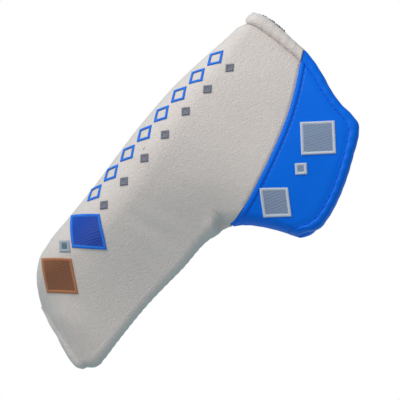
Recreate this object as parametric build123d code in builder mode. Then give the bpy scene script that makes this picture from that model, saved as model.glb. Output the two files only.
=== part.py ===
"""A padded blade-putter head cover, lying on its back.

Two mirrored halves, front and rear, are sewn together round the sole, the toe, the topline and the
throat. The heel edge and the mouth stay open: their hems are folded edges, and a strip of hook tape and
a strip of loop tape hold the heel slit shut. Each half is a sandwich of leather, foam and plush lining.
The leather is white on the pocket for the putter's head and blue on the collar round the shaft.

To open the cover, the heel corner of each half folds outwards. Both seams end at the flex line, which
runs from the sole end of the heel slit to the throat end of the mouth, so the leather bends there. The
model is cut at that line into a pouch and two flaps.

Places in the plane of the cover are (x, s): x runs from the heel to the toe and s from the sole to the
mouth, both from the heel's sole corner. Heights are from the seam plane. All sizes are in millimetres.
"""

from build123d import *
from math import atan2, sin
import os

# The sandwich, from outside to inside
LEATHER = 1.2
FOAM = 3.4
LINING = 1.6
WALL = LEATHER + FOAM + LINING
TAPE = 1.1  # thickness of the hook tape and of the loop tape
RIM_HALF = WALL + TAPE + 0.2  # half the cover's thickness where the tapes hold it shut

# The row frame: the origin is under the middle of the cover, on the surface that it lies on
MIDDLE = (101.79, 52.28)
LIE = 18.0  # height of the seam plane; the rear would bulge 2 mm more and is pressed flat
DEPTH = 30.0  # more than the cover reaches from its seam plane, for cutting

# Details
TAPE_WIDTH = 10.0
TAPE_SPAN = (12.0, 80.0)  # s of the two ends of the tapes
REAR_DROP = 5.2  # how much lower the rear's mouth is cut
DROP_SPAN = (74.0, 90.0)  # s over which that drop grows along the heel edge
FLAP_GAP = 0.15  # half the gap between the two flaps
FLEX_GAP = 0.4  # gap between a flap and the pouch along the flex line
THREAD = 0.6  # how far embroidery stands above the leather

# Ribs across the cover, heel to toe: each goes from the sole side (x, s) with its rounding radius to the
# topline or mouth side (x, s) with its rounding radius. The rim cuts off the ribs that pass it.
RIBS = [
    ((-6, 5.4, RIM_HALF), (2, 128, RIM_HALF)),
    ((8, 4.6, RIM_HALF), (16, 128, RIM_HALF)),
    ((22, 3.8, 9.6), (29, 128, 8.6)),
    ((42, 1.6, 15.2), (46, 128, 9.8)),
    ((62, 0, 19.6), (67, 120, 10.6)),
    ((76, 0, 20.2), (82.6, 85.5, 11.5)),
    ((91, 0.5, 20), (91.5, 72.2, 10.2)),
    ((105, 1.6, 19.8), (103.5, 64.4, 9.6)),
    ((125, 3.3, 18.8), (127, 64.4, 9.4)),
    ((147, 4.2, 16.8), (153, 63.6, 9)),
    ((163, 5, 13.8), (177, 64.8, 7.8)),
    ((172, 7, 10.5), (187, 65.6, 7)),
    ((181.6, 14.2, 6.5), (193.6, 65.2, 5.5)),
    ((190.4, 26.5, 3.2), (199, 60.8, 3.2)),
]

# The rim: round the heel's sole corner and up the heel slit, then along the mouth
SLIT = [(12.5, 4.6), (8.8, 5), (6.4, 8), (5, 13), (4.6, 22), (4.9, 32), (5.2, 41), (7.8, 52), (11.2, 61.3),
        (13.6, 70.9), (14.3, 79.7), (15.6, 84.4)]
MOUTH = [(19.5, 87.9), (28.7, 92.8), (39.4, 98), (50.8, 102.2), (60.1, 104.3), (67, 104.5), (72, 101.3)]
SOLE_END = SLIT[0]  # where the sole seam ends
THROAT_END = MOUTH[-1]  # where the throat seam ends
# The inner edge of the folded hem, from beyond the sole end to beyond the throat end
SLIT_HEM = [(16, 3), (13.6, 6.6), (11.8, 12), (10.8, 20), (10.4, 32), (10.6, 42), (12.4, 51.6), (15.4, 60.6),
            (17.6, 70.3), (18.6, 77.6)]
MOUTH_HEM = [(21.2, 83.6), (30.6, 89.2), (41, 94.3), (51.6, 98.4), (60.4, 100.4), (66, 99.6), (73, 90)]
# The seam between the white pocket and the blue collar, from beyond the throat to beyond the heel
COLLAR_SEAM = [(110, 68), (94, 69.8), (81, 70.2), (67, 67.4), (50, 62.2), (37, 57), (25, 50.6), (14, 43.8), (-8, 31)]

# Embroidered lozenges: (x, s) of the middle, half width along x, half height along s
COLLAR_LOZENGES = {"collar_lozenge": (34, 75, 12, 12), "collar_pip": (51, 79.5, 4.2, 4.2)}
THROAT_LOZENGE = (71.5, 81, 9.6, 10.6)
TOE_LOZENGES = {
    "toe_lozenge_blue": (144, 20, 11, 13.5),
    "toe_pip": (157, 16.5, 4, 4.6),
    "toe_lozenge_brown": (170, 23, 11, 13.5),
}
BAND = {"count": 8, "x": (37.5, 127.5), "s": 9.6, "half": (5.9, 4.4), "stroke": 1.3}
DOTS = {"count": 7, "x": (36.5, 128.5), "s": 18.6, "half": (3.1, 2.7)}

FRONT, REAR = 1, -1
SEAM_PLANE = Plane(origin=(-MIDDLE[0], -MIDDLE[1], LIE))


def rib_plane(low, high):
    """The upright plane of a rib, its local x from the sole side to the topline side."""
    start = SEAM_PLANE.from_local_coords(Vector(*low[:2], 0))
    along = (Vector(*high[:2], 0) - Vector(*low[:2], 0)).normalized()
    return Plane(origin=start, x_dir=along, z_dir=along.cross(Vector(0, 0, 1)))


def slant(index, end):
    """Sine of the angle between a rib and the outline at one of its ends."""
    before = RIBS[max(index - 1, 0)][end]
    after = RIBS[min(index + 1, len(RIBS) - 1)][end]
    low, high = RIBS[index]
    rib = atan2(high[1] - low[1], high[0] - low[0])
    outline = atan2(after[1] - before[1], after[0] - before[0])
    return max(abs(sin(rib - outline)), 0.4)


def pod(inset):
    """The closed shape of the cover, drawn in by inset all round and pressed flat underneath.

    A rib too thin for the inset is left out, so the inner layers stop short of the thin toe.
    """
    with BuildPart() as solid:
        for i, (low, high) in enumerate(RIBS):
            if min(low[2], high[2]) <= inset + 0.1:
                continue
            plane = rib_plane(low, high)
            if i == len(RIBS) - 1:
                plane = plane.offset(-inset)
            length = (Vector(*high[:2], 0) - Vector(*low[:2], 0)).length
            with BuildSketch(plane):
                with Locations((low[2] + inset * (1 / slant(i, 0) - 1), 0)):
                    Circle(low[2] - inset)
                with Locations((length - high[2] - inset * (1 / slant(i, 1) - 1), 0)):
                    Circle(high[2] - inset)
                make_hull()
        loft()
        split(bisect_by=Plane.XY.offset(inset), keep=Keep.TOP)
    return solid.part


def shell(outer, inner):
    """What one solid holds outside another."""
    with BuildPart() as layer:
        add(outer)
        add(inner, mode=Mode.SUBTRACT)
    return layer.part


def lowered(edge, side):
    """The points of one half's open edge: the rear's mouth is cut lower, all but its throat end."""
    if side == FRONT:
        return edge
    start, end = DROP_SPAN
    drops = [REAR_DROP * min(max((s - start) / (end - start), 0), 1) for _, s in edge[:-1]]
    return [(x, s - drop) for (x, s), drop in zip(edge, drops)] + [edge[-1]]


def flap_area(side):
    """The part of one half that folds outwards: between the rim and the flex line."""
    with BuildSketch() as area:
        with BuildLine():
            rim = Spline(*lowered(SLIT + MOUTH, side))
            Line(rim @ 1, rim @ 0)
        make_face()
    return area.sketch


def hemmed_area(side):
    """What lies inside the hem of one half, out to beyond the flex line."""
    with BuildSketch() as area:
        with BuildLine():
            edge = Spline(*lowered(SLIT_HEM + MOUTH_HEM, side))
            Polyline(edge @ 1, (110, 60), (60, -10), edge @ 0)
        make_face()
    return area.sketch


def pouch_area():
    """What is left on the toe side of the flex line."""
    edge = (Vector(*THROAT_END) - Vector(*SOLE_END)).normalized()
    away = Vector(edge.Y, -edge.X) * FLEX_GAP
    with BuildSketch() as area:
        with BuildLine():
            Polyline(
                Vector(*SOLE_END) + away, Vector(*THROAT_END) + away, (230, THROAT_END[1]), (230, -30), (14, -30),
                close=True,
            )
        make_face()
    return area.sketch


def collar_area():
    """The mouth side of the seam between pocket and collar."""
    with BuildSketch() as area:
        with BuildLine():
            seam = Spline(*COLLAR_SEAM)
            Polyline(seam @ 1, (-20, 31), (-20, 140), (110, 140), seam @ 0)
        make_face()
    return area.sketch


def lozenge(x, s, half_width, half_height, stroke=0):
    """A lozenge in the plane of the cover, open if it has a stroke."""
    with BuildSketch() as area:
        with Locations((x, s)):
            Polygon((half_width, 0), (0, half_height), (-half_width, 0), (0, -half_height))
            if stroke:
                scale_in = 1 - stroke * (half_width**2 + half_height**2) ** 0.5 / (half_width * half_height)
                Polygon(
                    (half_width * scale_in, 0), (0, half_height * scale_in),
                    (-half_width * scale_in, 0), (0, -half_height * scale_in), mode=Mode.SUBTRACT,
                )
    return area.sketch


def cut(name, layer, side, area, within=(), without=(), gap=0.0):
    """Cuts one piece out of a layer: one side of the seam plane, over an area, and writes it."""
    with BuildPart() as piece:
        add(layer)
        with BuildSketch(SEAM_PLANE.offset(side * gap)):
            add(area)
            for other in within:
                add(other, mode=Mode.INTERSECT)
            for other in without:
                add(other, mode=Mode.SUBTRACT)
        extrude(amount=side * DEPTH, mode=Mode.INTERSECT)
    piece.part.label = name
    export_step(piece.part, f"parts/{name}.step")
    return piece.part


os.makedirs("parts", exist_ok=True)

face = pod(0)
under_leather = pod(LEATHER)
under_foam = pod(LEATHER + FOAM)
hollow = pod(WALL)
leather = shell(face, under_leather)
foam = shell(under_leather, under_foam)
lining = shell(under_foam, hollow)
wall = shell(face, hollow)
thread = shell(pod(-THREAD), face)

pouch = pouch_area()
collar = collar_area()
for side, half in ((FRONT, "front"), (REAR, "rear")):
    flap = flap_area(side)
    hemmed = hemmed_area(side)

    # The pouch: leather in two colours over foam over plush
    cut(f"{half}_pocket_panel", leather, side, pouch, without=[collar])
    cut(f"{half}_throat_panel", leather, side, pouch, within=[collar])
    cut(f"{half}_pocket_foam", foam, side, pouch)
    cut(f"{half}_pocket_lining", lining, side, pouch)

    # The flap: the same sandwich inside a folded hem
    cut(f"{half}_heel_panel", leather, side, flap, within=[hemmed], without=[collar], gap=FLAP_GAP)
    cut(f"{half}_collar_panel", leather, side, flap, within=[hemmed, collar], gap=FLAP_GAP)
    cut(f"{half}_flap_foam", foam, side, flap, within=[hemmed], gap=FLAP_GAP)
    cut(f"{half}_flap_lining", lining, side, flap, within=[hemmed], gap=FLAP_GAP)
    cut(f"{half}_heel_hem", wall, side, flap, without=[hemmed, collar], gap=FLAP_GAP)
    cut(f"{half}_collar_hem", wall, side, flap, within=[collar], without=[hemmed], gap=FLAP_GAP)

    # The tape lies on the lining, along the hem of the heel slit
    with BuildSketch() as strip:
        with Locations((20, (TAPE_SPAN[0] + TAPE_SPAN[1]) / 2)):
            Rectangle(60, TAPE_SPAN[1] - TAPE_SPAN[0])
    tape = shell(hollow, Location((0, 0, -side * TAPE)) * hollow)
    cut("hook_tape" if side == FRONT else "loop_tape", tape, side, flap, gap=FLAP_GAP,
        within=[hemmed, strip.sketch], without=[Location((TAPE_WIDTH, 0)) * hemmed])

# The embroidery, all of it on the front
for name, size in COLLAR_LOZENGES.items():
    cut(name, thread, FRONT, lozenge(*size))
cut("throat_lozenge", thread, FRONT, lozenge(*THROAT_LOZENGE))
for name, size in TOE_LOZENGES.items():
    cut(name, thread, FRONT, lozenge(*size))
for name, row in (("band_lozenges", BAND), ("dot_lozenges", DOTS)):
    first, last = row["x"]
    with BuildSketch() as pattern:
        for i in range(row["count"]):
            x = first + (last - first) * i / (row["count"] - 1)
            add(lozenge(x, row["s"], *row["half"], stroke=row.get("stroke", 0)))
    cut(name, thread, FRONT, pattern.sketch)
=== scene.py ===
"""The looks of the padded blade-putter head cover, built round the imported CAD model.

Places in the plane of the cover are (x, s) in millimetres, as in the CAD: x from the heel to the toe, s from
the sole to the mouth, and w is the height above the seam plane. place() turns them into the row frame.
The skin of the cover is a surface over (q, t): q picks a rib, from heel to toe, and t runs round that rib
from the sole seam to the topline or the mouth.
"""

from math import cos, pi, radians, sin, tan
import bpy
import numpy as np
from mathutils import Matrix, Vector


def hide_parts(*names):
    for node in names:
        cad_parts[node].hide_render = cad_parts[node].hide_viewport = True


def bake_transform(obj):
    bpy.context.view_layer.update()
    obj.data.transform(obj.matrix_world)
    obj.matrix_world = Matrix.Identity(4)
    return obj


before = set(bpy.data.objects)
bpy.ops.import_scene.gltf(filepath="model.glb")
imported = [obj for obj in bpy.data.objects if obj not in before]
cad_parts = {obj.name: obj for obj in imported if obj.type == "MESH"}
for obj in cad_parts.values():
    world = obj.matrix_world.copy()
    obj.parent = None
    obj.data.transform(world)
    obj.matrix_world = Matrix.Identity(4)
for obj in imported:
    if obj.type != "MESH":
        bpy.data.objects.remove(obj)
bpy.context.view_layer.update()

# ------------------------------------------------------------------------------------------------
# Sizes shared with the CAD model, in millimetres
# ------------------------------------------------------------------------------------------------
LEATHER, FOAM, LINING, TAPE = 1.2, 3.4, 1.6, 1.1
PADDING = LEATHER + FOAM
WALL = PADDING + LINING
RIM_HALF = WALL + TAPE + 0.2
MIDDLE = (101.79, 52.28)
LIE = 18.0
REAR_DROP = 5.2
DROP_SPAN = (74.0, 90.0)
DROP_FADE = (62.0, 74.0)

# Ribs: x, s and rounding radius at the sole side, then at the topline or mouth side
RIBS = np.array([
    (-6, 5.4, RIM_HALF, 2, 128, RIM_HALF),
    (8, 4.6, RIM_HALF, 16, 128, RIM_HALF),
    (22, 3.8, 9.6, 29, 128, 8.6),
    (42, 1.6, 15.2, 46, 128, 9.8),
    (62, 0, 19.6, 67, 120, 10.6),
    (76, 0, 20.2, 82.6, 85.5, 11.5),
    (91, 0.5, 20, 91.5, 72.6, 10.2),
    (105, 1.6, 19.8, 104.8, 66.0, 7.4),
    (125, 3.3, 18.8, 127, 65.2, 5.6),
    (147, 4.2, 16.8, 153, 64.1, 5.2),
    (163, 5, 13.8, 177, 65.2, 5),
    (172, 7, 10.5, 186, 65.9, 5),
    (181.5, 14, 5.2, 192.2, 65.4, 5),
    (188.3, 23, 1.1, 195.8, 61.8, 4),
])
SLIT = [(12.5, 4.6), (8.8, 5), (6.4, 8), (5, 13), (4.6, 22), (4.9, 32), (5.2, 41), (7.8, 52), (11.2, 61.3),
        (13.6, 70.9), (14.3, 79.7), (15.6, 84.4)]
MOUTH = [(19.5, 87.9), (28.7, 92.8), (39.4, 98), (50.8, 102.2), (60.1, 104.3), (67, 104.5), (72, 101.3)]
SLIT_HEM = [(14.6, 3.6), (13.2, 7), (11.8, 12), (10.8, 20), (10.4, 32), (10.6, 42), (12.4, 51.6),
            (15.4, 60.6), (17.6, 70.3), (18.6, 77.6), (21.2, 83.6)]
MOUTH_HEM = [(21.2, 83.6), (30.6, 89.2), (41, 94.3), (51.6, 98.4), (60.4, 100.4), (66, 100.4), (71.2, 98.2),
             (75.2, 95.8), (78.6, 94.6)]
RIM_END = [(74.6, 99.7), (76.9, 98.6)]
COLLAR_SEAM = [(94.4, 69.6), (88, 70.4), (81, 70.2), (67, 67.4), (50, 62.2), (37, 57), (25, 50.6), (14, 43.8),
               (8, 40.2), (2, 36.8)]

# Soft folds in the leather: height, middle (x, s), half sizes, and turn in degrees
FOLDS = [
    (1.1, (100.6, 63.4), (4.2, 3.4), 14),
    (0.28, (116, 42), (4, 12), 10),
    (-0.32, (121.5, 43), (3.6, 12), 6),
    (0.3, (127, 41), (4, 10), 2),
    (0.25, (106, 36), (5, 11), 16),
    (0.8, (198, 53.5), (7, 5.5), 0),
    (-0.8, (194, 40.5), (7, 4.2), 0),
]
PINCH = (-3.5, (97.0, 66.6), (3.4, 3.6), 24)
TOE_CROWN = (2.2, (185, 43), (13, 9), 76)
SEAM_STITCHES_IN = 2.75

FRONT, REAR = 1, -1
HALVES = ((FRONT, "front"), (REAR, "rear"))


def place(points):
    """(x, s, w) in millimetres to the row frame in metres."""
    return (np.asarray(points, float) + np.array([-MIDDLE[0], -MIDDLE[1], LIE])) / 1000.0


# ------------------------------------------------------------------------------------------------
# Curves
# ------------------------------------------------------------------------------------------------
def hermite(knots, values, at):
    """A smooth curve through values at knots; its slopes are those of the parabola through 3 neighbours."""
    knots, values, at = np.asarray(knots, float), np.asarray(values, float), np.asarray(at, float)
    step = np.diff(knots)
    shape = (-1, *([1] * (values.ndim - 1)))
    rise = np.diff(values, axis=0) / step.reshape(shape)
    slope = np.empty_like(values)
    a, b = step[:-1].reshape(shape), step[1:].reshape(shape)
    slope[1:-1] = (rise[:-1] * b + rise[1:] * a) / (a + b)
    slope[0], slope[-1] = 2 * rise[0] - slope[1], 2 * rise[-1] - slope[-2]
    i = np.clip(np.searchsorted(knots, at, side="right") - 1, 0, len(step) - 1)
    h = step[i]
    u = np.clip((at - knots[i]) / h, 0, 1)
    if values.ndim > 1:
        h, u = h[..., None], u[..., None]
    return ((2 * u**3 - 3 * u**2 + 1) * values[i] + (u**3 - 2 * u**2 + u) * h * slope[i]
            + (3 * u**2 - 2 * u**3) * values[i + 1] + (u**3 - u**2) * h * slope[i + 1])


def run_of(points):
    """How far along a polyline each of its points is."""
    return np.r_[0, np.cumsum(np.linalg.norm(np.diff(points, axis=0), axis=1))]


def resample(points, count):
    """The same polyline as count evenly spaced points."""
    run = run_of(points)
    at = np.linspace(0, run[-1], count)
    return np.stack([np.interp(at, run, points[:, k]) for k in range(points.shape[1])], axis=1)


def curve(points, count=240):
    """A smooth curve through points, as count points evenly spaced along it."""
    points = np.asarray(points, float)
    run = run_of(points)
    return resample(hermite(run, points, np.linspace(0, run[-1], 40 * len(points))), count)


def distance(x, s, line):
    """Distance of each (x, s) to a polyline."""
    p = np.stack([np.ravel(x), np.ravel(s)], axis=1)
    best = np.full(len(p), 1e9)
    for a, b in zip(line[:-1], line[1:]):
        d = b - a
        u = np.clip(((p - a) @ d) / (d @ d), 0, 1)
        best = np.minimum(best, np.hypot(*(p - a - u[:, None] * d).T))
    return best.reshape(np.shape(x))


def smooth(value, start, end):
    """0 before start, 1 after end, smooth between."""
    u = np.clip((value - start) / (end - start), 0, 1)
    return u * u * (3 - 2 * u)


def bump(x, s, height, middle, size, turn):
    """A smooth round hump, as high as height at its middle."""
    a, b = x - middle[0], s - middle[1]
    c, d = cos(radians(turn)), sin(radians(turn))
    return height * np.exp(-(((a * c + b * d) / size[0]) ** 2) - ((b * c - a * d) / size[1]) ** 2)


def lowered(edge, side):
    """The points of one half's open edge: the rear's mouth is cut lower, all but its throat end."""
    if side == FRONT:
        return list(edge)
    start, end = DROP_SPAN
    points = []
    for x, s in edge:
        share = min(max((s - start) / (end - start), 0), 1) * (1 - smooth(x, *DROP_FADE))
        points.append((x, s - REAR_DROP * share))
    return points


# ------------------------------------------------------------------------------------------------
# The skin
# ------------------------------------------------------------------------------------------------
KNOTS = (RIBS[:, 0] + RIBS[:, 3]) / 2
Q_TOE = KNOTS[-1]
TOE_ROUND = 2.6
Q_END = Q_TOE + TOE_ROUND * pi / 2


def rib(q):
    """Sole end, unit vector towards the other end, length, and the two rounding radii of ribs."""
    row = hermite(KNOTS, RIBS, np.clip(q, KNOTS[0], Q_TOE))
    low, high = row[..., 0:2], row[..., 3:5]
    along = high - low
    length = np.linalg.norm(along, axis=-1)
    return low, along / length[..., None], length, row[..., 2], row[..., 5]


def skin(q, t, inset=0.0):
    """Points (x, s, w) of the plain front skin, their outward normals, and lengths to both ends of the rib."""
    q, t = np.broadcast_arrays(np.asarray(q, float), np.asarray(t, float))
    low, along, length, r0, r1 = rib(q)
    gap = length - r0 - r1
    tilt = np.arcsin(np.clip((r0 - r1) / gap, -0.95, 0.95))
    flat = np.sqrt(np.maximum(gap**2 - (r0 - r1) ** 2, 0.01))
    arc0, arc1 = r0 * (pi / 2 + tilt), r1 * (pi / 2 - tilt)
    total = arc0 + flat + arc1
    run = t * total
    # the normal's angle: it points back along the rib at the sole, up on the flat, and forward at the end
    angle = np.where(run < arc0, pi - run / r0, pi / 2 - tilt)
    angle = np.where(run > arc0 + flat, pi / 2 - tilt - (run - arc0 - flat) / r1, angle)
    share = np.clip((run - arc0) / flat, 0, 1)
    i0, i1 = np.maximum(r0 - inset, 0.4), np.maximum(r1 - inset, 0.4)
    radius = i0 + share * (i1 - i0)
    a = r0 + share * gap + radius * np.cos(angle)
    w = radius * np.sin(angle)
    # beyond the last rib the toe is rounded off
    turn = np.clip((q - Q_TOE) / TOE_ROUND, 0, pi / 2)
    outward = np.stack([along[..., 1], -along[..., 0]], axis=-1)
    plan = low + a[..., None] * along + (w * np.sin(turn))[..., None] * outward
    facing = np.cos(angle)[..., None] * along + (np.sin(angle) * np.sin(turn))[..., None] * outward
    points = np.concatenate([plan, (w * np.cos(turn))[..., None]], axis=-1)
    normals = np.concatenate([facing, (np.sin(angle) * np.cos(turn))[..., None]], axis=-1)
    return points, normals, run, total - run


def locate(x, s):
    """(q, t) of the skin above a place in the plane of the cover."""
    p = np.stack(np.broadcast_arrays(np.asarray(x, float), np.asarray(s, float)), axis=-1)
    lo, hi = np.full(p.shape[:-1], KNOTS[0]), np.full(p.shape[:-1], Q_TOE)
    for _ in range(34):
        mid = (lo + hi) / 2
        low, along, *_ = rib(mid)
        beyond = along[..., 1] * (p - low)[..., 0] - along[..., 0] * (p - low)[..., 1] > 0
        lo, hi = np.where(beyond, mid, lo), np.where(beyond, hi, mid)
    q = (lo + hi) / 2
    low, along, length, *_ = rib(q)
    want = np.clip(((p - low) * along).sum(-1), 0, length)
    lo, hi = np.zeros(q.shape), np.ones(q.shape)
    for _ in range(28):
        mid = (lo + hi) / 2
        points, *_ = skin(q, mid)
        short = ((points[..., :2] - low) * along).sum(-1) < want
        lo, hi = np.where(short, mid, lo), np.where(short, hi, mid)
    return q, (lo + hi) / 2


class Half:
    """The lines of one half of the cover, as (x, s) curves and as t over q."""

    def __init__(self, side):
        self.side = side
        self.rim = curve(lowered(SLIT + MOUTH + RIM_END, side))
        self.slit_hem = curve(lowered(SLIT_HEM, side))
        self.mouth_hem = curve(lowered(MOUTH_HEM, side))
        self.seam = curve(COLLAR_SEAM)
        self.hem = np.concatenate([self.slit_hem, self.mouth_hem[1:]])
        self.seam_q, self.seam_t = self.over_q(self.seam)
        extra = self.mouth_hem[0] + np.linspace(16, 0.5, 20)[:, None] * np.array([-0.8, -0.6])
        self.top_q, self.top_t = self.over_q(np.concatenate([extra, self.mouth_hem]))

    @staticmethod
    def over_q(line):
        q, t = locate(line[:, 0], line[:, 1])
        order = np.argsort(q)
        return q[order], t[order]

    def seam_at(self, q):
        return np.where(q > self.seam_q[-1], 1.0, np.interp(q, self.seam_q, self.seam_t))

    def top_at(self, q):
        return np.where(q > self.top_q[-1], 1.0, np.interp(q, self.top_q, self.top_t))

    def relief(self, x, s, run, rest, end, part):
        """How far the skin stands above the plain skin: padding, seams, folds and creases."""
        rim, hem, seam = distance(x, s, self.rim), distance(x, s, self.hem), distance(x, s, self.seam)
        beyond = np.where(x > 84, 0, 1)
        edge = np.where(x < 72, run, np.minimum(run, rest))
        edge = np.minimum(np.where(x < 13, 99, edge), end)
        pucker = 0.1 * np.sin(x * 2 * pi / 3.7 + 0.9 * np.sin(x / 9)) * smooth(end, 1, 9)
        high = -1.15 * np.exp(-((edge / 1.25) ** 2)) + pucker * np.exp(-(((edge - 1.6) / 1.9) ** 2))
        crown = 1.5 if self.side == FRONT else 0.2
        high += crown * smooth(np.minimum(run, rest), 2, 40) * smooth(rim, 4, 34)
        if part == "collar":
            high -= 0.46 * np.exp(-((hem / 1.9) ** 2))
            # a flat-felled strip beside the seam, with a groove where it is stitched down
            high += 0.42 * smooth(seam, 0.1, 0.9) * (1 - smooth(seam, 1.9, 2.7)) * (1 - smooth(x, 84, 92))
            high -= 0.6 * np.exp(-((seam / 0.5) ** 2))
            high -= 0.3 * np.exp(-(((seam - SEAM_STITCHES_IN) / 0.5) ** 2))
        else:
            high -= 1.5 * np.exp(-((hem / 2.2) ** 2)) + 0.6 * np.exp(-((seam / 0.8) ** 2)) * beyond
        for fold in FOLDS:
            high += bump(x, s, *fold)
        high += bump(x, s, *PINCH) * smooth(rest, 0.5, 3.5)
        high += bump(x, s, *TOE_CROWN) * smooth(np.minimum(run, rest), 0, 12)
        return high

    def surface(self, q, t, part, lift=0.0):
        """Points (x, s, w) of the finished skin of this half, with its outward normals."""
        points, normals, run, rest = skin(q, t)
        high = self.relief(points[..., 0], points[..., 1], run, rest, Q_END - q, part) + lift
        points = points + normals * high[..., None]
        return points * [1, 1, self.side], normals * [1, 1, self.side], run

    def over(self, x, s, part, lift=0.0):
        """The finished skin above places in the plane of the cover."""
        q, t = locate(x, s)
        points, normals, _ = self.surface(q, t, part, lift)
        return points, normals


def pressed(points):
    """Presses what would go through the surface that the cover lies on."""
    points = np.array(points, float)
    z = points[..., 2] + LIE
    points[..., 2] = np.where(z < 1.2, np.log1p(np.exp(np.clip((z - 0.1) / 0.35, -40, 40))) * 0.35, z) - LIE
    return points


# ------------------------------------------------------------------------------------------------
# Meshes
# ------------------------------------------------------------------------------------------------
def build(name, points, faces, uv=None, material_index=None):
    """A mesh object from (x, s, w) points in millimetres."""
    mesh = bpy.data.meshes.new(name)
    mesh.from_pydata(place(points).tolist(), [], [list(map(int, face)) for face in faces])
    if uv is not None:
        layer = mesh.uv_layers.new(name="UVMap")
        loops = np.empty(len(mesh.loops), int)
        mesh.loops.foreach_get("vertex_index", loops)
        layer.data.foreach_set("uv", np.asarray(uv, float)[loops].ravel())
    if material_index is not None:
        mesh.polygons.foreach_set("material_index", material_index)
    mesh.polygons.foreach_set("use_smooth", [True] * len(mesh.polygons))
    mesh.validate()
    obj = bpy.data.objects.new(name, mesh)
    bpy.context.scene.collection.objects.link(obj)
    return obj


def grid_faces(rows, columns, start=0, closed=False):
    """Quads of a grid of points; closed joins the last column to the first."""
    index = start + np.arange(rows * columns).reshape(rows, columns)
    if closed:
        index = np.concatenate([index, index[:, :1]], axis=1)
    a, b, c, d = index[:-1, :-1], index[:-1, 1:], index[1:, 1:], index[1:, :-1]
    return np.stack([a.ravel(), b.ravel(), c.ravel(), d.ravel()], axis=1)


def slab(outer, inner, uv, flip):
    """A closed sheet between two grids of points: (points, faces, uv)."""
    rows, columns = outer.shape[:2]
    count = rows * columns
    top = grid_faces(rows, columns)
    bottom = grid_faces(rows, columns, count)[:, ::-1]
    index = np.arange(count).reshape(rows, columns)
    border = np.concatenate([index[0, :-1], index[:-1, -1], index[-1, :0:-1], index[:0:-1, 0]])
    ahead = np.roll(border, -1)
    wall = np.stack([ahead, border, border + count, ahead + count], axis=1)
    faces = np.concatenate([top, bottom, wall])
    points = np.concatenate([outer.reshape(-1, 3), inner.reshape(-1, 3)])
    return points, faces[:, ::-1] if flip else faces, np.concatenate([uv.reshape(-1, 2)] * 2)


def panel_grid(half, part, step):
    """(q, t) of an evenly spread grid over one panel of a half: pocket, collar or the whole of it."""
    low = (lambda q: np.zeros_like(q)) if part != "collar" else half.seam_at
    high = half.seam_at if part == "pocket" else half.top_at
    hem_q, hem_t = locate(half.slit_hem[:, 0], half.slit_hem[:, 1])
    up = (hem_t - low(hem_q)) / (high(hem_q) - low(hem_q))
    keep = (up > -0.02) & (up < 1.02)
    v = np.linspace(0, 1, int({"pocket": 118, "collar": 60, "whole": 130}[part] / step))
    v = v - 0.35 * np.sin(2 * pi * v) / (2 * pi)
    first = np.interp(v, up[keep], hem_q[keep])
    last = half.seam_q[-1] - 0.25 if part == "collar" else (178.0 if part == "whole" else Q_END)
    k = np.linspace(0, 1, int((last - 10) / step))
    # the columns of the pocket are drawn together where the toe curves
    if part == "pocket":
        k = k + 0.1 * np.sin(pi * k) ** 2 * np.sin(pi * k)
    q = first[:, None] + (last - first[:, None]) * k
    t = low(q) + v[:, None] * (high(q) - low(q))
    return q, t


def panel(half, part, step):
    """One padded panel: leather over foam, turned in at its borders."""
    q, t = panel_grid(half, part, step)
    outer, _, run = half.surface(q, t, part)
    inner = skin(q, t, PADDING - 0.05)[0] * [1, 1, half.side]
    uv = np.stack([q, run], axis=-1) / 200
    return slab(pressed(outer), inner, uv, half.side == REAR)


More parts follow.
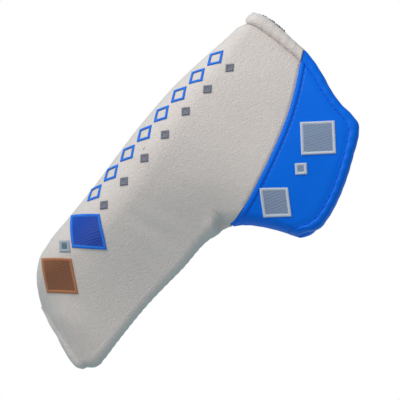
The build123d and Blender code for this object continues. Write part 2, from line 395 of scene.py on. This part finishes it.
def hem(half, part):
    """The folded edge of one half, as a closed roll: (points, faces, uv)."""
    cut_rim = np.argmin(distance(half.rim[:140, 0], half.rim[:140, 1], half.seam[half.seam[:, 0] < 16]))
    cut_hem = np.argmin(distance(half.slit_hem[:, 0], half.slit_hem[:, 1], half.seam))
    if part == "pocket":
        rim, line = half.rim[: cut_rim + 1], half.slit_hem[: cut_hem + 1]
        rim, line = resample(rim[rim[:, 1] > 7.4], 60), resample(line[line[:, 1] > 7.4], 60)
        cap = np.linspace(pi / 2, 0, 9)[:-1]
        ahead = -3.4 * np.sin(cap)[:, None] * np.array([0.1, 1.0])
        rim, line = np.concatenate([rim[0] + ahead, rim]), np.concatenate([line[0] + ahead, line])
        size = np.concatenate([np.maximum(np.cos(cap), 0.12), np.ones(60)])
    else:
        corner = np.argmin(np.abs(half.rim[:170, 1] - half.slit_hem[-1, 1] - 2.2))
        rim = np.concatenate([resample(half.rim[cut_rim: corner + 1], 60)[:-1],
                              resample(half.rim[corner:], 100)])
        line = np.concatenate([resample(half.slit_hem[cut_hem:], 60)[:-1], resample(half.mouth_hem, 100)])
        size = np.ones(len(rim))
    stations, around = len(rim), 28
    turn = np.linspace(0, 2 * pi, around, endpoint=False)
    c, d = np.cos(turn), np.sin(turn)
    # the roll goes a little way under the cover beside it
    under = 0.12 if part == "pocket" else 0.22
    across = (0.5 - 0.5 * np.sign(c) * np.abs(c) ** (2 / 2.5)) * (1 + under) - under
    up = np.sign(d) * np.abs(d) ** (2 / 2.3)
    plan = line[:, None] + across[:, None] * (rim - line)[:, None]
    q, t = locate(plan[..., 0], plan[..., 1])
    points, *_ = skin(q, t)
    top = points[..., 2] + (0.9 if part == "pocket" else 0.12)
    low = np.minimum(TAPE + 0.25, 0.3 * top)
    size = size * (1 + 0.02 * np.sin(np.arange(stations) * 0.7))
    centre = (plan.mean(axis=1))[:, None]
    plan = centre + (plan - centre) * size[:, None, None]
    w = (top + low) / 2 + (top - low) / 2 * up * size[:, None]
    solid = np.concatenate([plan, (w * half.side)[..., None]], axis=-1)
    faces = grid_faces(stations, around, closed=True)
    first, last = list(range(around)), list(range((stations - 1) * around, stations * around))
    faces = [list(face) for face in faces] + [first[::-1], last]
    if half.side == FRONT:
        faces = [face[::-1] for face in faces]
    run = run_of(rim)[:, None] + 0 * turn
    uv = np.stack([run, 20 * np.broadcast_to(turn / (2 * pi), run.shape)], axis=-1) / 200
    return pressed(solid.reshape(-1, 3)), faces, uv.reshape(-1, 2)


def stitches(half, line, part, pitch=3.1, length=2.3, thick=0.28, lift=0.05):
    """A row of sewn stitches along an (x, s) line on the skin of one half."""
    count = int(run_of(line)[-1] / pitch)
    run = run_of(line)
    points, faces = [], []
    sides, rings = 7, 6
    for i in range(count):
        at = (i + 0.5) * pitch + np.linspace(-length / 2, length / 2, rings)
        x, s = np.interp(at, run, line[:, 0]), np.interp(at, run, line[:, 1])
        spine, normals = half.over(x, s, part, lift)
        tangent = np.gradient(spine, axis=0)
        tangent /= np.linalg.norm(tangent, axis=1)[:, None]
        beside = np.cross(normals, tangent)
        u = np.linspace(-1, 1, rings)
        spine = spine - normals * (0.55 * u**6)[:, None]
        turn = np.linspace(0, 2 * pi, sides, endpoint=False)
        ring = thick * (1.15 * np.cos(turn)[None, :, None] * beside[:, None]
                        + np.sin(turn)[None, :, None] * normals[:, None])
        body = (spine[:, None] + ring * (1 - 0.45 * u**4)[:, None, None]).reshape(-1, 3)
        start = i * sides * rings
        points.append(body)
        faces += [list(f) for f in grid_faces(rings, sides, start, closed=True)]
        last = start + sides * (rings - 1)
        faces += [list(range(start, start + sides))[::-1], list(range(last, last + sides))]
    return pressed(np.concatenate(points)), faces


def tufts(half, first, last, count):
    """Tufts of the plush that stick out of the heel slit between two heights s."""
    random = np.random.default_rng(7)
    points, faces = [], []
    sides = 5
    turn = np.linspace(0, 2 * pi, sides, endpoint=False)
    for i in range(count):
        s = random.uniform(first, last)
        x = np.interp(s, half.rim[:120, 1], half.rim[:120, 0])
        foot = np.array([x + 0.9, s, half.side * random.uniform(-0.9, 1.1)])
        lean = np.array([-1, random.normal(0, 0.35), random.normal(0, 0.3)])
        lean /= np.linalg.norm(lean)
        beside = np.cross(lean, [0, 0, 1])
        above = np.cross(beside, lean)
        size = random.uniform(1.3, 2.2)
        for reach, thick in ((0, 0.22), (0.6, 0.2), (1, 0.06)):
            bent = foot + lean * size * reach + np.array([0, 0.3, 0]) * reach**2 * random.normal(0, 1)
            points.append(bent + thick * (np.cos(turn)[:, None] * beside + np.sin(turn)[:, None] * above))
        start = i * sides * 3
        faces += [list(f) for f in grid_faces(3, sides, start, closed=True)]
        tip = start + 2 * sides
        faces += [list(range(start, start + sides))[::-1], list(range(tip, tip + sides))]
    return np.concatenate(points), faces


STITCH_ROW = 1.35
STITCH_TURN = 62


def embroidery(half, patches, part, frame_only=0.0):
    """Embroidered lozenges (x, s, half width, half height): a satin border round rows of stitches.

    frame_only is the width of the border of lozenges that are sewn as an outline.
    """
    all_points, all_faces, all_uv, all_index = [], [], [], []
    start = 0
    for x0, s0, half_width, half_height in patches:
        leg = np.hypot(half_width, half_height)
        wide = 2 * half_width * half_height / leg
        n = max(int(leg / 0.26), 24)
        u, v = np.meshgrid(np.linspace(0, 1, n), np.linspace(0, 1, n), indexing="ij")
        a, b = half_width * (u + v - 1), half_height * (u - v)
        du, dv = np.minimum(u, 1 - u) * wide, np.minimum(v, 1 - v) * wide
        inward = np.minimum(du, dv)
        border = frame_only or min(1.5, 0.3 * wide)
        along = np.where(du < dv, v, u) * leg
        satin = 0.5 * np.sqrt(np.clip(1 - ((inward - border / 2) / (border / 2)) ** 2, 0, 1))
        satin += 0.05 * np.sin(2 * pi * along / 0.55) * (inward < border)
        c, d = cos(radians(STITCH_TURN)), sin(radians(STITCH_TURN))
        across, down = a * c + b * d, b * c - a * d
        fill = 0.2 + 0.16 * np.abs(np.sin(pi * across / STITCH_ROW)) ** 0.6
        fill += 0.03 * np.sin(2 * pi * down / 0.5)
        high = np.where(inward < border, 0.16 + satin, np.maximum(fill, 0))
        high = np.where(inward < 0.02, -0.25, high)
        in_border = inward < border
        uv = np.stack([np.where(in_border, along, across), np.where(in_border, inward, down)], axis=-1)
        q, t = locate(x0 + a, s0 + b)
        top = half.surface(q, t, part, high)[0]
        under = half.surface(q, t, part, -0.35)[0]
        points, faces, uvs = slab(top, under, uv / 20 + 0.5, True)
        middle = inward.ravel()
        face_in = middle[faces % (n * n)].mean(axis=1)
        if frame_only:
            keep = face_in < frame_only
            faces, face_in = faces[keep], face_in[keep]
        all_index += [0 if value < border else 1 for value in face_in]
        all_points.append(points)
        all_uv.append(uvs)
        all_faces += [[int(i) + start for i in face] for face in faces]
        start += len(points)
    return np.concatenate(all_points), all_faces, np.concatenate(all_uv), all_index


# ------------------------------------------------------------------------------------------------
# Materials
# ------------------------------------------------------------------------------------------------
def fill_ramp(ramp, stops):
    """Gives a colour ramp its stops, (position, colour)."""
    while len(ramp.elements) < len(stops):
        ramp.elements.new(0.5)
    for element, (position, colour) in zip(ramp.elements, stops):
        element.position, element.color = position, (*colour, 1)


class Paint:
    """A node material under construction. Its textures are laid out by the UV map, 1 unit to 200 mm."""

    def __init__(self, name):
        self.material = bpy.data.materials.new(name)
        self.material.use_nodes = True
        self.tree = self.material.node_tree
        self.shader = self.tree.nodes["Principled BSDF"]
        self.uv = self.tree.nodes.new("ShaderNodeUVMap").outputs[0]

    def set(self, **values):
        for key, value in values.items():
            self.shader.inputs[key.replace("_", " ")].default_value = value
        return self

    def mapped(self, scale, turn=0.0):
        node = self.tree.nodes.new("ShaderNodeMapping")
        node.inputs["Scale"].default_value = (*scale, 1)
        node.inputs["Rotation"].default_value = (0, 0, radians(turn))
        self.tree.links.new(self.uv, node.inputs["Vector"])
        return node.outputs[0]

    def noise(self, vector, scale, detail, rough, warp=0.0):
        node = self.tree.nodes.new("ShaderNodeTexNoise")
        node.inputs["Scale"].default_value = scale
        node.inputs["Detail"].default_value = detail
        node.inputs["Roughness"].default_value = rough
        node.inputs["Distortion"].default_value = warp
        self.tree.links.new(vector, node.inputs["Vector"])
        return node.outputs["Fac"]

    def cells(self, vector, scale):
        node = self.tree.nodes.new("ShaderNodeTexVoronoi")
        node.feature = "DISTANCE_TO_EDGE"
        node.inputs["Scale"].default_value = scale
        self.tree.links.new(vector, node.inputs["Vector"])
        return node.outputs["Distance"]

    def wave(self, vector, scale):
        node = self.tree.nodes.new("ShaderNodeTexWave")
        node.inputs["Scale"].default_value = scale
        node.inputs["Distortion"].default_value = 0.6
        node.inputs["Detail"].default_value = 1
        self.tree.links.new(vector, node.inputs["Vector"])
        return node.outputs["Fac"]

    def math(self, kind, a, b):
        node = self.tree.nodes.new("ShaderNodeMath")
        node.operation = kind
        for value, socket in ((a, node.inputs[0]), (b, node.inputs[1])):
            if isinstance(value, (int, float)):
                socket.default_value = value
            else:
                self.tree.links.new(value, socket)
        return node.outputs[0]

    def ramp(self, fac, stops):
        node = self.tree.nodes.new("ShaderNodeValToRGB")
        fill_ramp(node.color_ramp, stops)
        self.tree.links.new(fac, node.inputs["Fac"])
        self.tree.links.new(node.outputs["Color"], self.shader.inputs["Base Color"])

    def relief(self, height, strength, deep):
        node = self.tree.nodes.new("ShaderNodeBump")
        node.inputs["Strength"].default_value = strength
        node.inputs["Distance"].default_value = deep / 1000
        self.tree.links.new(height, node.inputs["Height"])
        self.tree.links.new(node.outputs["Normal"], self.shader.inputs["Normal"])


def leather(name, dark, light, rough, gloss, grained):
    """Grained leather: small pebbles, longer fine wrinkles and slow changes of tone."""
    paint = Paint(name)
    wide, narrow = paint.mapped((200, 200), 12), paint.mapped((110, 260), 34)
    pebbles = paint.cells(paint.mapped((150, 280), 24), 1.35)
    wrinkles = paint.noise(narrow, 1.0, 3, 0.5, 1.3)
    grain = paint.noise(wide, 1.3, 3, 0.6)
    height = paint.math("ADD", paint.math("MULTIPLY", pebbles, 0.9), paint.math("MULTIPLY", wrinkles, 1.6))
    height = paint.math("ADD", height, paint.math("MULTIPLY", grain, 0.25))
    paint.relief(height, grained, 0.5)
    tone = paint.noise(wide, 0.03, 2, 0.5)
    tone = paint.math("ADD", paint.math("MULTIPLY", tone, 0.5), paint.math("MULTIPLY", wrinkles, 0.5))
    paint.ramp(tone, [(0.3, dark), (0.7, light)])
    return paint.set(Roughness=rough, Specular_IOR_Level=gloss).material


def thread(name, dark, light, stripes):
    """Shiny embroidery thread."""
    paint = Paint(name)
    lines = paint.wave(paint.mapped((20, 20)), 0.95 if stripes else 0.6)
    fuzz = paint.noise(paint.mapped((20, 20)), 2.2, 2, 0.6)
    tone = paint.math("ADD", paint.math("MULTIPLY", lines, 0.65), paint.math("MULTIPLY", fuzz, 0.35))
    paint.relief(tone, 0.6, 0.25)
    paint.ramp(tone, [(0.15, dark), (0.85, light)])
    return paint.set(Roughness=0.42, Specular_IOR_Level=0.3).material


def plush(name, dark, light):
    """Short dense pile."""
    paint = Paint(name)
    tufts = paint.noise(paint.mapped((200, 200)), 1.6, 4, 0.7)
    paint.relief(tufts, 0.9, 1.2)
    paint.ramp(tufts, [(0.3, dark), (0.75, light)])
    return paint.set(Roughness=0.95, Specular_IOR_Level=0.1, Sheen_Weight=0.5, Sheen_Roughness=0.4).material


def plain(name, colour, rough):
    return Paint(name).set(Base_Color=(*colour, 1), Roughness=rough, Specular_IOR_Level=0.35).material


WHITE = leather("white_leather", (0.625, 0.565, 0.53), (0.675, 0.615, 0.58), 0.48, 0.3, 0.62)
BLUE = leather("blue_leather", (0.0, 0.132, 0.71), (0.0, 0.152, 0.79), 0.4, 0.1, 0.14)
PLUSH = plush("black_plush", (0.008, 0.009, 0.011), (0.045, 0.048, 0.055))
HOOK = plush("hook_tape", (0.012, 0.012, 0.013), (0.06, 0.06, 0.065))
LOOP = plush("loop_tape", (0.01, 0.01, 0.011), (0.035, 0.035, 0.04))
SILVER = (thread("silver_border", (0.42, 0.48, 0.6), (0.74, 0.78, 0.86), True),
          thread("silver_fill", (0.06, 0.12, 0.25), (0.38, 0.45, 0.58), False))
ROYAL = (thread("royal_border", (0.005, 0.11, 0.62), (0.02, 0.24, 0.9), True),
         thread("royal_fill", (0.002, 0.03, 0.28), (0.01, 0.08, 0.5), False))
SLATE = (thread("slate_border", (0.22, 0.28, 0.33), (0.5, 0.55, 0.6), True),
         thread("slate_fill", (0.06, 0.1, 0.14), (0.16, 0.22, 0.28), False))
BROWN = (thread("brown_border", (0.3, 0.11, 0.045), (0.6, 0.24, 0.11), True),
         thread("brown_fill", (0.15, 0.055, 0.025), (0.3, 0.12, 0.06), False))
GREY = (thread("grey_border", (0.1, 0.11, 0.15), (0.28, 0.29, 0.34), True),
        thread("grey_fill", (0.1, 0.11, 0.15), (0.25, 0.26, 0.31), False))
BLUE_SEWING = plain("blue_sewing_thread", (0.0, 0.09, 0.6), 0.5)


# ------------------------------------------------------------------------------------------------
# The pieces
# ------------------------------------------------------------------------------------------------
def paint_with(obj, *materials):
    for material in materials:
        obj.data.materials.append(material)
    return obj


def bend(obj):
    """Bakes the piece's transform into its mesh."""
    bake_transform(obj)


halves = {side: Half(side) for side, _ in HALVES}
for side, name in HALVES:
    half = halves[side]
    flap = f"{name}_flap"

    pocket = build(f"{name}_pocket_cover", *panel(half, "pocket", 0.8))
    paint_with(pocket, WHITE)
    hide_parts(f"{name}_pocket_panel", f"{name}_heel_panel", f"{name}_pocket_foam")
    bend(pocket)

    collar = build(f"{name}_collar_cover", *panel(half, "collar", 0.7))
    paint_with(collar, BLUE)
    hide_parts(f"{name}_collar_panel", f"{name}_throat_panel", f"{name}_flap_foam")
    bend(collar)

    q, t = panel_grid(half, "whole", 1.3)
    near, _, run, _ = skin(q, t, WALL)
    far, *_ = skin(q, t, PADDING + 0.1)
    flip = np.array([1, 1, side])
    pile = 0.12 * np.sin(q * 5.1 + 3 * np.sin(t * 90)) * np.sin(t * 260 + q)
    near = near + np.stack([0 * pile, 0 * pile, pile], axis=-1)
    uv = np.stack([q, run], axis=-1) / 200
    lining = build(f"{name}_plush_lining", *slab(far * flip, near * flip, uv, side == REAR))
    paint_with(lining, PLUSH)
    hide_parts(f"{name}_pocket_lining", f"{name}_flap_lining")
    bend(lining)

    for part, node, material in (("pocket", "heel_hem", WHITE), ("collar", "collar_hem", BLUE)):
        roll = build(f"{name}_{part}_roll", *hem(half, part))
        paint_with(roll, material)
        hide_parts(f"{name}_{node}")
        bend(roll)

    line = half.hem[half.hem[:, 1] > 42]
    row = build(f"{name}_hem_stitches", *stitches(half, line, "collar"))
    paint_with(row, BLUE_SEWING)
    bend(row)

    # sewing beside the seam of the collar
    normal = np.stack([-np.gradient(half.seam[:, 1]), np.gradient(half.seam[:, 0])], axis=1)
    normal /= np.linalg.norm(normal, axis=1)[:, None]
    beside = half.seam - SEAM_STITCHES_IN * normal
    x, s = beside.T
    beside = beside[(x > 11) & (x < 88) & (distance(x, s, half.hem) > 1.2)]
    row = build(f"{name}_seam_stitches", *stitches(half, beside, "collar", lift=0.12))
    paint_with(row, BLUE_SEWING)
    bend(row)

    if side == REAR:
        fringe = build("rear_slit_fringe", *tufts(half, 9, 24, 240))
        paint_with(fringe, PLUSH)
        bend(fringe)

    # the strip of tape along the heel slit, on the lining
    s = np.linspace(13, 78, 150)
    left = np.interp(s, half.slit_hem[:, 1], half.slit_hem[:, 0])
    x = left + np.linspace(0.2, 10.0, 24)[:, None]
    q, t = locate(x, s + 0 * x)
    far = skin(q, t, WALL + 0.12)[0]
    near = far - np.array([0, 0, TAPE - 0.15])
    near[..., 2] = np.maximum(near[..., 2] - 0.12 * np.sin(x * 5) * np.sin(s * 5), 0.1)
    uv = np.stack([x, s + 0 * x], axis=-1) / 200
    strip = slab(far * flip, near * flip, uv, side == FRONT)
    tape = build("hook_strip" if side == FRONT else "loop_strip", *strip)
    paint_with(tape, HOOK if side == FRONT else LOOP)
    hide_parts("hook_tape" if side == FRONT else "loop_tape")
    bend(tape)


# the embroidery, on the front only
front = halves[FRONT]
BAND = [(37.5 + i * 90 / 7, 9.6, 5.9, 4.4) for i in range(8)]
DOTS = [(36.5 + i * 92 / 6, 18.6, 3.1, 2.7) for i in range(7)]
for node, patches, part, materials, slot, options in (
    ("collar_lozenge", [(34, 75, 12, 12)], "collar", SILVER, "silver_thread", {}),
    ("collar_pip", [(51, 79.5, 4.2, 4.2)], "collar", SILVER, "silver_thread", {}),
    ("throat_lozenge", [(71.5, 81, 9.6, 10.6)], "collar", SILVER, "silver_thread", {}),
    ("toe_lozenge_blue", [(144, 20, 11, 13.5)], "pocket", ROYAL, "blue_thread", {}),
    ("toe_pip", [(157, 16.5, 4, 4.6)], "pocket", SLATE, "slate_thread", {}),
    ("toe_lozenge_brown", [(170, 23, 11, 13.5)], "pocket", BROWN, "brown_thread", {}),
    ("band_lozenges", BAND, "pocket", ROYAL, "blue_thread", {"frame_only": 1.3}),
    ("dot_lozenges", DOTS, "pocket", GREY, "grey_thread", {}),
):
    points, faces, uv, index = embroidery(front, patches, part, **options)
    patch = build(f"{node}_sewn", points, faces, uv, index)
    paint_with(patch, *materials)
    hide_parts(node)
    bend(patch)


# ------------------------------------------------------------------------------------------------
# Stage, light and camera
# ------------------------------------------------------------------------------------------------
def lamp(name, place_at, aim, size, power, colour):
    data = bpy.data.lights.new(name, "AREA")
    data.shape, data.size, data.size_y = "RECTANGLE", size[0], size[1]
    data.energy, data.color = power, colour
    obj = bpy.data.objects.new(name, data)
    obj.location = place_at
    obj.rotation_euler = (Vector(aim) - Vector(place_at)).to_track_quat("-Z", "Y").to_euler()
    bpy.context.scene.collection.objects.link(obj)


# The camera looks almost straight down, tilted towards the topline, with the cover's toe at the lower left
TILT, LEAN = 0.2443, 0.02
HEADING = 48.5
CENTRE = Vector((-0.00166, 0.00122, 0.018))
FRAMING = (-0.0005, 0.00673)
REACH = 0.9
towards = Vector((-tan(LEAN), sin(TILT), cos(TILT))).normalized()
across = (Vector((1, 0, 0)) - towards.x * towards).normalized()
upward = towards.cross(across)
swing = radians(90 - HEADING)
right = -sin(swing) * across + cos(swing) * upward
up = -cos(swing) * across - sin(swing) * upward
target = CENTRE + FRAMING[0] * right + FRAMING[1] * up
camera = bpy.data.objects.new("camera", bpy.data.cameras.new("camera"))
camera.data.lens, camera.data.sensor_width = 162.4, 36.0
camera.data.clip_start = 0.05
camera.matrix_world = Matrix((right, up, towards)).transposed().to_4x4()
camera.location = target + REACH * towards
bpy.context.scene.collection.objects.link(camera)
bpy.context.scene.camera = camera

# The surroundings light the cover in soft teal from below and the sides, and in grey from above
SKY = [(0.0, (0.34, 0.48, 0.53)), (0.5, (0.30, 0.50, 0.56)), (0.65, (0.36, 0.46, 0.50)),
       (1.0, (0.42, 0.41, 0.41))]
SKY_STRENGTH = 1.1
world = bpy.data.worlds.new("world")
bpy.context.scene.world = world
world.use_nodes = True
nodes, links = world.node_tree.nodes, world.node_tree.links
nodes.clear()
output = nodes.new("ShaderNodeOutputWorld")
seen = nodes.new("ShaderNodeBackground")
lit = nodes.new("ShaderNodeBackground")
mix = nodes.new("ShaderNodeMixShader")
rays = nodes.new("ShaderNodeLightPath")
direction = nodes.new("ShaderNodeTexCoord")
split = nodes.new("ShaderNodeSeparateXYZ")
ramp = nodes.new("ShaderNodeValToRGB")
spread = nodes.new("ShaderNodeMapRange")
spread.inputs["From Min"].default_value = -1.0
fill_ramp(ramp.color_ramp, SKY)
links.new(direction.outputs["Generated"], split.inputs[0])
links.new(split.outputs["Z"], spread.inputs["Value"])
links.new(spread.outputs["Result"], ramp.inputs["Fac"])
links.new(ramp.outputs["Color"], lit.inputs["Color"])
lit.inputs["Strength"].default_value = SKY_STRENGTH
seen.inputs["Color"].default_value = (1, 1, 1, 1)
links.new(rays.outputs["Is Camera Ray"], mix.inputs[0])
links.new(lit.outputs[0], mix.inputs[1])
links.new(seen.outputs[0], mix.inputs[2])
links.new(mix.outputs[0], output.inputs[0])

lamp("key", (-0.16, -0.40, 0.37), (-0.01, 0.0, 0.02), (0.4, 0.4), 2.6, (1.0, 0.955, 0.94))

view = bpy.context.scene.view_settings
view.view_transform = "Standard"
view.look = "None"
